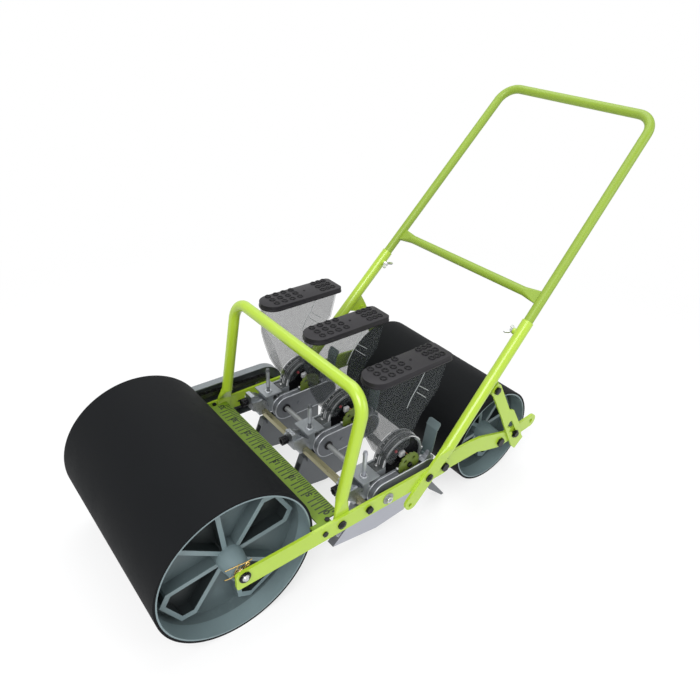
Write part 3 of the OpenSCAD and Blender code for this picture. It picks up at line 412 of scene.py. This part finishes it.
def select(piece, kind, test):  # kind: faces, edges or vertices; it ends in edit mode
    hold(piece)
    bpy.ops.object.mode_set(mode="EDIT")
    bpy.ops.mesh.select_mode(type={"faces": "FACE", "edges": "EDGE", "vertices": "VERT"}[kind])
    bpy.ops.mesh.select_all(action="DESELECT")
    bpy.ops.object.mode_set(mode="OBJECT")
    mesh = piece.data
    if kind == "faces":
        for face in mesh.polygons:
            face.select = test(face.center, face.normal)
    elif kind == "edges":
        for edge in mesh.edges:
            edge.select = test(*(mesh.vertices[end].co for end in edge.vertices))
    else:
        for point in mesh.vertices:
            point.select = test(point.co)
    bpy.ops.object.mode_set(mode="EDIT")


def soften(piece, width, segments=3, angle=30):  # bevels the edges that turn by more than angle
    hold(piece)
    bevel = piece.modifiers.new("bevel", "BEVEL")
    bevel.width, bevel.segments = width / 1000, segments
    bevel.limit_method, bevel.angle_limit = "ANGLE", radians(angle)
    bpy.ops.object.modifier_apply(modifier=bevel.name)
    bpy.ops.object.shade_smooth_by_angle(angle=radians(40))
    return piece


def merge(name, pieces):
    begin()
    for piece in pieces:
        piece.select_set(True)
    bpy.context.view_layer.objects.active = pieces[0]
    bpy.ops.object.join()
    made = bpy.context.object
    made.name = name
    return made


def another(piece, name, by):  # a copy with its own mesh, moved
    copied = piece.copy()
    copied.data = piece.data.copy()
    copied.name = name
    bpy.context.scene.collection.objects.link(copied)
    copied.data.transform(Matrix.Translation(Vector(by) / 1000))
    return copied


def wear(piece, finish, body, instead=()):
    piece.data.materials.clear()
    piece.data.materials.append(finishes[finish].material)
    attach(piece, body)
    if instead:
        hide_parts(*instead)
    return piece


# Shapes that several pieces start from
def roundedSlab(name, low, high, frontRound, rearRound):
    piece = block(name, low, high)
    for edgeY, size, segments in ((low[1], frontRound, 16), (high[1], rearRound, 6)):
        line = place(0, edgeY, 0).y
        select(piece, "edges", lambda a, b: (abs(a.x - b.x) + abs(a.y - b.y) < touch
                                             and abs(a.y - line) < 10 * touch))
        bpy.ops.mesh.bevel(offset=size / 1000, segments=segments, affect="EDGES")
        bpy.ops.object.mode_set(mode="OBJECT")
    return piece


def hollow(piece, wall, depth):  # opens the underside into a shell
    select(piece, "faces", lambda centre, normal: normal.z < -0.99)
    bpy.ops.mesh.inset(thickness=wall / 1000)
    bpy.ops.mesh.extrude_region_move(TRANSFORM_OT_translate={"value": (0, 0, depth / 1000)})
    bpy.ops.object.mode_set(mode="OBJECT")
    return piece


def openEnds(piece, wall, axis="x"):  # turns a bar along this axis into a ring of this wall
    select(piece, "faces", lambda centre, normal: abs(getattr(normal, axis)) > 0.99)
    bpy.ops.mesh.inset(thickness=wall / 1000)
    bpy.ops.mesh.delete(type="FACE")
    bpy.ops.mesh.select_mode(type="EDGE")
    bpy.ops.mesh.select_all(action="DESELECT")
    bpy.ops.mesh.select_non_manifold()
    bpy.ops.mesh.bridge_edge_loops()
    bpy.ops.object.mode_set(mode="OBJECT")
    return piece


def ring(name, x0, x1, y, z, outer, inner, sides=96):
    return openEnds(rod(name, (x0, y, z), (x1, y, z), outer, sides), outer - inner)


def longRound(name, x0, x1, y0, y1, z, radius):  # bar along X with two round ends
    piece = rod(name, (x0, y0, z), (x1, y0, z), radius, 64)
    line = place(0, y0, 0).y
    select(piece, "vertices", lambda point: point.y > line + touch)
    bpy.ops.transform.translate(value=(0, (y1 - y0) / 1000, 0))
    bpy.ops.object.mode_set(mode="OBJECT")
    return piece


def keep(piece, spot, direction):  # cuts off what lies behind a plane
    select(piece, "faces", lambda centre, normal: True)
    bpy.ops.mesh.bisect(plane_co=place(*spot), plane_no=direction, use_fill=True, clear_inner=True)
    bpy.ops.object.mode_set(mode="OBJECT")
    return piece


def strand(name, points, radius):  # thin wire through points
    begin()
    line = bpy.data.curves.new(name, "CURVE")
    line.dimensions, line.use_fill_caps = "3D", True
    line.bevel_depth, line.bevel_resolution = radius / 1000, 3
    run = line.splines.new("NURBS")
    run.points.add(len(points) - 1)
    for knot, point in zip(run.points, points):
        knot.co = (*place(*point), 1)
    run.order_u, run.use_endpoint_u, run.resolution_u = 3, True, 6
    piece = bpy.data.objects.new(name, line)
    bpy.context.scene.collection.objects.link(piece)
    hold(piece)
    bpy.ops.object.convert(target="MESH")
    bpy.ops.object.shade_smooth()
    return bpy.context.object


unitX = [-146, -2, 158]  # middle planes of the three row units

# Lids: a bevelled cap with a lip round its skirt, two rows of black ring studs and a vent
lid = {"half": 26, "front": 249.3, "rear": 422.3, "low": 355, "top": 365.5, "frontCorner": 25.9,
       "rearCorner": 8, "wall": 1.6, "roof": 2.5, "soft": 0.7, "lip": 3.4, "lipOut": 0.8,
       "studAcross": (-20, -4, 12), "studAlong": (276.7, 294.2, 311.7, 329.2, 383, 395, 407),
       "studSize": 4.6, "studRound": 1.7, "vent": (-4, 349.7), "ventSunk": 0.5, "ventProud": 0.8,
       "ventFoot": 2.6, "ventTop": 2.2}


def lidCap(x):
    low = (x - lid["half"], lid["front"], lid["low"])
    high = (x + lid["half"], lid["rear"], lid["top"])
    cap = roundedSlab("cap", low, high, lid["frontCorner"], lid["rearCorner"])
    lipTop = place(0, 0, lid["low"] + lid["lip"])
    select(cap, "faces", lambda centre, normal: abs(normal.z) < 0.01)
    bpy.ops.mesh.bisect(plane_co=lipTop, plane_no=(0, 0, 1))
    select(cap, "faces", lambda centre, normal: abs(normal.z) < 0.01 and centre.z < lipTop.z)
    out = {"value": lid["lipOut"] / 1000}
    bpy.ops.mesh.extrude_region_shrink_fatten(TRANSFORM_OT_shrink_fatten=out)
    bpy.ops.object.mode_set(mode="OBJECT")
    hollow(cap, lid["wall"] + lid["lipOut"], lid["top"] - lid["low"] - lid["roof"])
    return soften(cap, lid["soft"], angle=40)


def lidStuds(x):
    begin()
    across, along = lid["studAcross"][0], lid["studAlong"][0]
    bpy.ops.mesh.primitive_torus_add(
        major_segments=28, minor_segments=10, major_radius=lid["studSize"] / 1000,
        minor_radius=lid["studRound"] / 1000, location=place(x + across, along, lid["top"]))
    first = settle(bpy.context.object)
    bpy.ops.object.shade_smooth()
    rings = [another(first, "ring", (a - across, b - along, 0))
             for a in lid["studAcross"] for b in lid["studAlong"]]
    bpy.data.objects.remove(first)
    spot = (x + lid["vent"][0], lid["vent"][1])
    foot, top = (*spot, lid["top"] - lid["ventSunk"]), (*spot, lid["top"] + lid["ventProud"])
    return merge("studs", rings + [rod("vent", foot, top, lid["ventFoot"], 24, lid["ventTop"])])


for n, x in enumerate(unitX, 1):
    cap, studs = lidCap(x), lidStuds(x)
    cap.name, studs.name = f"lidCap_{n}", f"lidStuds_{n}"
    wear(cap, "lid", f"cap_{n}", [f"lid_{n}"])
    wear(studs, "blackPlastic", f"cap_{n}", [f"lid_{n}"])
print("lids modelled")

# Ruler bar: printed marks every 10 mm, short ones under the numbers, half marks between them,
# and a number every 50 mm. Whole, short and half give a mark's length and half its width.
ruler = {"top": 144, "rear": 185, "sunk": 0.3, "proud": 0.12, "first": 180.6, "step": 5,
         "marks": 72, "whole": (29, 1.33), "short": (8, 1.33), "half": (13, 0.95), "soft": 0.05,
         "numbers": 8, "numberAt": 176, "numberRow": 174, "numberStep": 50, "counts": 5,
         "numberSize": 15, "bold": 0.7}


def rulerMarks():
    top, rear = ruler["top"], ruler["rear"]
    marks = []
    for i in range(ruler["marks"]):
        x = ruler["first"] - i * ruler["step"]
        reach, width = ruler["half" if i % 2 else "whole" if i % 10 else "short"]
        low = (x - width, rear - reach, top - ruler["sunk"])
        marks.append(block("mark", low, (x + width, rear, top + ruler["proud"])))
    return soften(merge("rulerMarks", marks), ruler["soft"], 1)


def rulerNumbers():
    figures = []
    for i in range(ruler["numbers"]):
        begin()
        bpy.ops.object.text_add(location=(0, 0, 0))
        letters = bpy.context.object.data
        letters.body, letters.align_x = str(i * ruler["counts"]), "CENTER"
        letters.size, letters.extrude = ruler["numberSize"] / 1000, ruler["proud"] / 1000
        letters.offset = ruler["bold"] / 1000
        bpy.ops.object.convert(target="MESH")
        figure = bpy.context.object
        figure.rotation_euler = (0, 0, pi)
        x = ruler["numberAt"] - i * ruler["numberStep"]
        figure.location = place(x, ruler["numberRow"], ruler["top"])
        figures.append(settle(figure))
    return merge("rulerNumbers", figures)


for printed in (rulerMarks(), rulerNumbers()):
    wear(printed, "print", "frame")
print("ruler marked")

# Chain guards: rolled bright rims, the far one cut short, and a dark collar at the shaft
guard = {"front": 283, "rear": 385, "height": 130, "outer": 26.2, "inner": 23.9,
         "nearRim": (29.9, 32.1), "farRim": (17.8, 20), "farEnd": 320, "rimSoft": 0.8,
         "collar": (31.6, 33.9), "collarOuter": 9, "collarInner": 5.5, "collarSoft": 0.6}


def guardRims(x):
    front, rear, height, outer = (guard[name] for name in ("front", "rear", "height", "outer"))
    rims = [longRound("rim", x + a, x + b, front, rear, height, outer)
            for a, b in (guard["nearRim"], guard["farRim"])]
    for rim in rims:
        openEnds(rim, outer - guard["inner"])
    keep(rims[1], (0, guard["farEnd"], 0), (0, -1, 0))
    return soften(merge("guardRims", rims), guard["rimSoft"], angle=40)


def guardCollar(x):
    a, b = guard["collar"]
    collar = ring("collar", x + a, x + b, guard["front"], guard["height"], guard["collarOuter"],
                  guard["collarInner"], 48)
    return soften(collar, guard["collarSoft"], 2, 40)


# Guard's top plate: a smoked seat and a socket screw on it
plate = {"seat": ((-17, 284.5, 161.5), (7, 305, 162.9)), "seatSoft": 1.2, "screw": (-6, 295),
         "screwLow": 162.9, "screwTop": 165.2, "screwSize": 3.6, "screwRim": 2.6, "socket": 1.2,
         "screwSoft": 0.3}


def plateScrew(x):
    seat = block("seat", *((x + a, b, c) for a, b, c in plate["seat"]))
    spot = (x + plate["screw"][0], plate["screw"][1])
    head = rod("head", (*spot, plate["screwLow"]), (*spot, plate["screwTop"]),
               plate["screwSize"], 24, plate["screwRim"])
    select(head, "faces", lambda centre, normal: normal.z > 0.99)
    bpy.ops.mesh.inset(thickness=plate["socket"] / 1000)
    down = (0, 0, -plate["socket"] / 1000)
    bpy.ops.mesh.extrude_region_move(TRANSFORM_OT_translate={"value": down})
    bpy.ops.object.mode_set(mode="OBJECT")
    return soften(seat, plate["seatSoft"]), soften(head, plate["screwSoft"], 2)


# Seed housings: smoked bands with pale rims and feed notches. Bands give their two sides with
# the outer and inner radius, and rims their side and radius.
housing = {"y": 348, "z": 160, "bands": ((-16.6, -8.4, 47.9, 46), (-4.6, 5.4, 46.9, 45)),
           "bandLow": 158, "bandRear": 386, "bandSoft": 0.3,
           "rims": ((-17.2, 47.9), (-8.9, 47.9), (-5.2, 46.9), (5.2, 46.9)), "rimWidth": 0.9,
           "rimOut": 0.9, "rimIn": 1.5, "rimLow": 154, "rimRear": 388, "rimSoft": 0.2,
           "notches": 8, "notchFrom": 28, "notchStep": 12, "notchAway": 48.4,
           "notchX": (-15, -12), "notchSize": 1.1}


def trimmed(piece, low, rear):  # keeps what is above low and before rear
    keep(piece, (0, 0, low), (0, 0, 1))
    return keep(piece, (0, rear, 0), (0, -1, 0))


def housingBands(x):
    bands = [ring("band", x + a, x + b, housing["y"], housing["z"], outer, inner)
             for a, b, outer, inner in housing["bands"]]
    for band in bands:
        trimmed(band, housing["bandLow"], housing["bandRear"])
    return soften(merge("bands", bands), housing["bandSoft"], 2, 40)


def housingRims(x):
    y, z = housing["y"], housing["z"]
    rims = [ring("rim", x + a, x + a + housing["rimWidth"], y, z, radius + housing["rimOut"],
                 radius - housing["rimIn"]) for a, radius in housing["rims"]]
    for rim in rims:
        trimmed(rim, housing["rimLow"], housing["rimRear"])
    start, end = (x + a for a in housing["notchX"])
    for i in range(housing["notches"]):
        angle = radians(housing["notchFrom"] + i * housing["notchStep"])
        spot = (y - housing["notchAway"] * sin(angle), z + housing["notchAway"] * cos(angle))
        rims.append(rod("notch", (start, *spot), (end, *spot), housing["notchSize"], 12))
    return soften(merge("rims", rims), housing["rimSoft"], 1, 40)


# Seed brush: a white holder with its pin, copper bristles that fan out, and a red spot. A
# bristle row is a place on the first bristle, then how far back and down the next one's lies.
brush = {"holder": ((4, 337, 170), (11, 349, 181)), "holderSoft": 2,
         "bristle": ((8, 347, 178, 1.6, 1.5), (12, 351, 176, 1.7, 2.2), (14, 354, 170, 1.8, 1.2)),
         "bristles": 6, "wire": 0.8,
         "spot": ((5, 329.4, 186), (8, 329.4, 186)), "spotSize": 3.1, "spotTip": 2.4,
         "spotSoft": 0.6, "pin": ((16, 325, 157), (21, 323, 160)), "pinSize": 1.8, "pinSoft": 0.4}


def seedBrush(x):
    holder, spot, pin = (tuple((x + a, b, c) for a, b, c in brush[name])
                         for name in ("holder", "spot", "pin"))
    holder = soften(block("holder", *holder), brush["holderSoft"], 4)
    bristles = [strand("bristle", [(x + a, b + i * back, c - i * down)
                                   for a, b, c, back, down in brush["bristle"]], brush["wire"])
                for i in range(brush["bristles"])]
    spot = soften(rod("spot", *spot, brush["spotSize"], 24, brush["spotTip"]), brush["spotSoft"])
    pin = soften(rod("pin", *pin, brush["pinSize"], 16), brush["pinSoft"], 2)
    return merge("holders", [holder, pin]), merge("bristles", bristles), spot


# Hoppers: painted glints, pale lines where highlights run down the near wall, and two more that run
# back and down from it
hopper = {"wall": 24.2, "wire": 0.6,
          "glint": ((358.7, 357), (346.5, 332.1), (331.3, 312.2), (324.6, 294.6)),
          "branches": (((347.3, 330.2), (371.1, 311.6)), ((343.1, 319.4), (367.3, 298.3)))}


def hopperGlints(x):
    wall = x + hopper["wall"]
    return merge("glints", [strand("glint", [(wall, *spot) for spot in line], hopper["wire"])
                           for line in (hopper["glint"], *hopper["branches"])])


# Height stems: a bright sleeve up the stem, and a collar where it leaves the top plate. The
# sleeve ends above the collar, so that the opener can go down.
stem = {"across": 6, "along": 256.6, "sleeve": (180.5, 216.5), "sleeveSize": 3.9,
        "collar": (167.4, 170), "collarSize": 7.6, "collarTop": 6.6, "collarWall": 2.5,
        "soft": 0.4}


def stemSleeve(x):
    low, high = ((x + stem["across"], stem["along"], z) for z in stem["sleeve"])
    return soften(rod("sleeve", low, high, stem["sleeveSize"]), stem["soft"], 2)


def stemCollar(x):
    low, high = ((x + stem["across"], stem["along"], z) for z in stem["collar"])
    collar = rod("collar", low, high, stem["collarSize"], 40, stem["collarTop"])
    return soften(openEnds(collar, stem["collarWall"], "z"), stem["soft"], 2, 40)


for n, x in enumerate(unitX, 1):
    sleeve = stemSleeve(x)
    seat, head = plateScrew(x)
    holder, bristles, spot = seedBrush(x)
    made = (
        ("stemSleeve", sleeve, "shoe", "sheet", "sheet"),
        ("guardRims", guardRims(x), "unit", "sheet", "sheet"),
        ("guardCollar", guardCollar(x), "unit", "blackSteel", "black_steel"),
        ("plateSeat", seat, "unit", "smoke", "black_plastic"),
        ("plateScrew", head, "unit", "zinc", "steel"),
        ("housingBands", housingBands(x), "unit", "smoke", "black_plastic"),
        ("housingRims", housingRims(x), "unit", "whitePlastic", "clear"),
        ("brushHolder", holder, "unit", "whitePlastic", "clear"),
        ("bristles", bristles, "unit", "copper", "brass"),
        ("redSpot", spot, "unit", "red", "black_plastic"),
        ("hopperGlints", hopperGlints(x), "unit", "glint", "clear"),
        ("stemCollar", stemCollar(x), "unit", "sheet", "sheet"),
    )
    for name, piece, body, finish, slot in made:
        piece.name = f"{name}_{n}"
        wear(piece, finish, f"{body}_{n}")
print("row units dressed")

# Front axle: a dark washer edge round the end screw, and the bent wires of the split pin
axle = {"y": 0, "z": 135, "edge": (204.2, 205.1), "outer": 8.3, "inner": 5.9, "soft": 0.2,
        "plane": 192.9, "wire": 0.85,
        "wires": (((-27, 158), (-8, 156), (12, 152.5), (18, 154)),
                  ((-29, 140), (-14, 134), (0, 143)), ((-4, 157.5), (-12, 143)))}
edge = ring("axleEdge", *axle["edge"], axle["y"], axle["z"], axle["outer"], axle["inner"], 48)
soften(edge, axle["soft"], 2, 40)
wires = merge("pinWires", [strand("wire", [(axle["plane"], *spot) for spot in line], axle["wire"])
                           for line in axle["wires"]])
wear(edge, "blackSteel", "front_roller")
wear(wires, "brass", "front_roller")
print("axle dressed")

# Bolt heads over the pivots of the notch plates: a hexagon and the low crown on it
pivot = {"y": 540, "z": 254, "face": 201.5, "top": 205.6, "crown": 206.4, "hexSize": 8.2,
         "crownSize": 6, "crownRim": 4.8, "soft": 0.4}
heads = []
for side in (-1, 1):
    root, top, crown = ((side * pivot[name], pivot["y"], pivot["z"])
                        for name in ("face", "top", "crown"))
    heads.append(rod("hex", root, top, pivot["hexSize"], 6))
    heads.append(rod("crown", top, crown, pivot["crownSize"], 32, pivot["crownRim"]))
heads = soften(merge("pivotHeads", heads), pivot["soft"], 2, 25)
wear(heads, "blackSteel", "frame")

# Driven end of the shaft: a round socket
shaftEnd = {"y": 283, "z": 130, "sides": (205.2, 207.8), "outer": 6.2, "inner": 3.1, "soft": 0.5}
socket = ring("socket", *shaftEnd["sides"], shaftEnd["y"], shaftEnd["z"], shaftEnd["outer"],
              shaftEnd["inner"], 48)
wear(soften(socket, shaftEnd["soft"], 2, 40), "zinc", "shaft")
print("bolt heads and socket modelled")

# Camera at the photograph's angle: places in metres, roll in radians, focal and frame in pixels
view = {"place": (0.76183, -0.68124, 0.91497), "target": (-0.01896, -0.02133, 0.28740),
        "roll": 0.056, "focal": 630.141, "frame": 700}
back = (Vector(view["place"]) - Vector(view["target"])).normalized()
level = Vector((0, 0, 1)).cross(back).normalized()
rise = back.cross(level)
across = level * cos(view["roll"]) + rise * sin(view["roll"])
upward = rise * cos(view["roll"]) - level * sin(view["roll"])
lens = bpy.data.cameras.new("camera")
lens.sensor_width = 36
lens.lens = view["focal"] / view["frame"] * lens.sensor_width
camera = bpy.data.objects.new("camera", lens)
bpy.context.scene.collection.objects.link(camera)
turned = Matrix((across, upward, back)).transposed().to_4x4()
camera.matrix_world = Matrix.Translation(Vector(view["place"])) @ turned
bpy.context.scene.camera = camera

# Lamps: where each hangs, what it aims at, its width in metres and its power in watts
lamps = {"keyLamp": ((1.2, -1.9, 2.2), (0, 0, 0.25), 1.6, 72),
         "topLamp": ((-0.6, 0.4, 2.6), (0, 0, 0.2), 2.2, 40),
         "sideLamp": ((2.4, 1.2, 1.4), (0, 0.1, 0.2), 1.4, 22)}
for name, (spot, aim, width, power) in lamps.items():
    light = bpy.data.lights.new(name, "AREA")
    light.shape, light.size, light.energy = "SQUARE", width, power
    lamp = bpy.data.objects.new(name, light)
    bpy.context.scene.collection.objects.link(lamp)
    turned = (Vector(aim) - Vector(spot)).to_track_quat("-Z", "Y").to_matrix().to_4x4()
    lamp.matrix_world = Matrix.Translation(Vector(spot)) @ turned


def seen(nodes):  # 1 where a surface is seen, mirrored or seen through, 0 where it only lights
    eye = nodes.node("ShaderNodeLightPath", out="Is Camera Ray")
    mirrored = nodes.maths("MAXIMUM", eye, eye.beside("Is Glossy Ray"))
    return nodes.maths("MAXIMUM", mirrored, eye.beside("Is Transmission Ray"))


# World: white where it is seen, a plain level where it lights
studio = bpy.data.worlds.new("studio")
bpy.context.scene.world = studio
studio.use_nodes = True
air = Nodes(studio.node_tree)
white = (1, 1, 1, 1)
dim = air.node("ShaderNodeBackground", {}, {"Color": (0.95, 0.97, 1, 1), "Strength": 0.4})
bright = air.node("ShaderNodeBackground", {}, {"Color": white, "Strength": 1})
air.show("ShaderNodeOutputWorld", air.mixed(seen(air), dim, bright))

# Floor: white where it is seen, with a faint shadow that fades out between two distances
shadow = {"from": 0.5, "to": 1.5, "glow": 0.7}
ground = bpy.data.materials.new("floorWhite")
ground.use_nodes = True
soil = Nodes(ground.node_tree)
matt = soil.node("ShaderNodeBsdfDiffuse", {}, {"Color": (0.9, 0.9, 0.9, 1)})
glow = soil.node("ShaderNodeEmission", {}, {"Color": white, "Strength": 1})
where = soil.node("ShaderNodeTexCoord", out="Object")
away = soil.node("ShaderNodeVectorMath", {"operation": "LENGTH"}, {0: where}, "Value")
fade = soil.node("ShaderNodeMapRange", {}, {0: away, 1: shadow["from"], 2: shadow["to"],
                                            3: shadow["glow"], 4: 1.0})
soil.show("ShaderNodeOutputMaterial", soil.mixed(seen(soil) * fade, matt, glow))
bpy.ops.mesh.primitive_plane_add(size=80, location=(0, 0, 0))
floor = bpy.context.object
floor.name = "floor"
floor.data.materials.append(ground)

bpy.context.scene.view_settings.view_transform = "Standard"
print("scene ready")
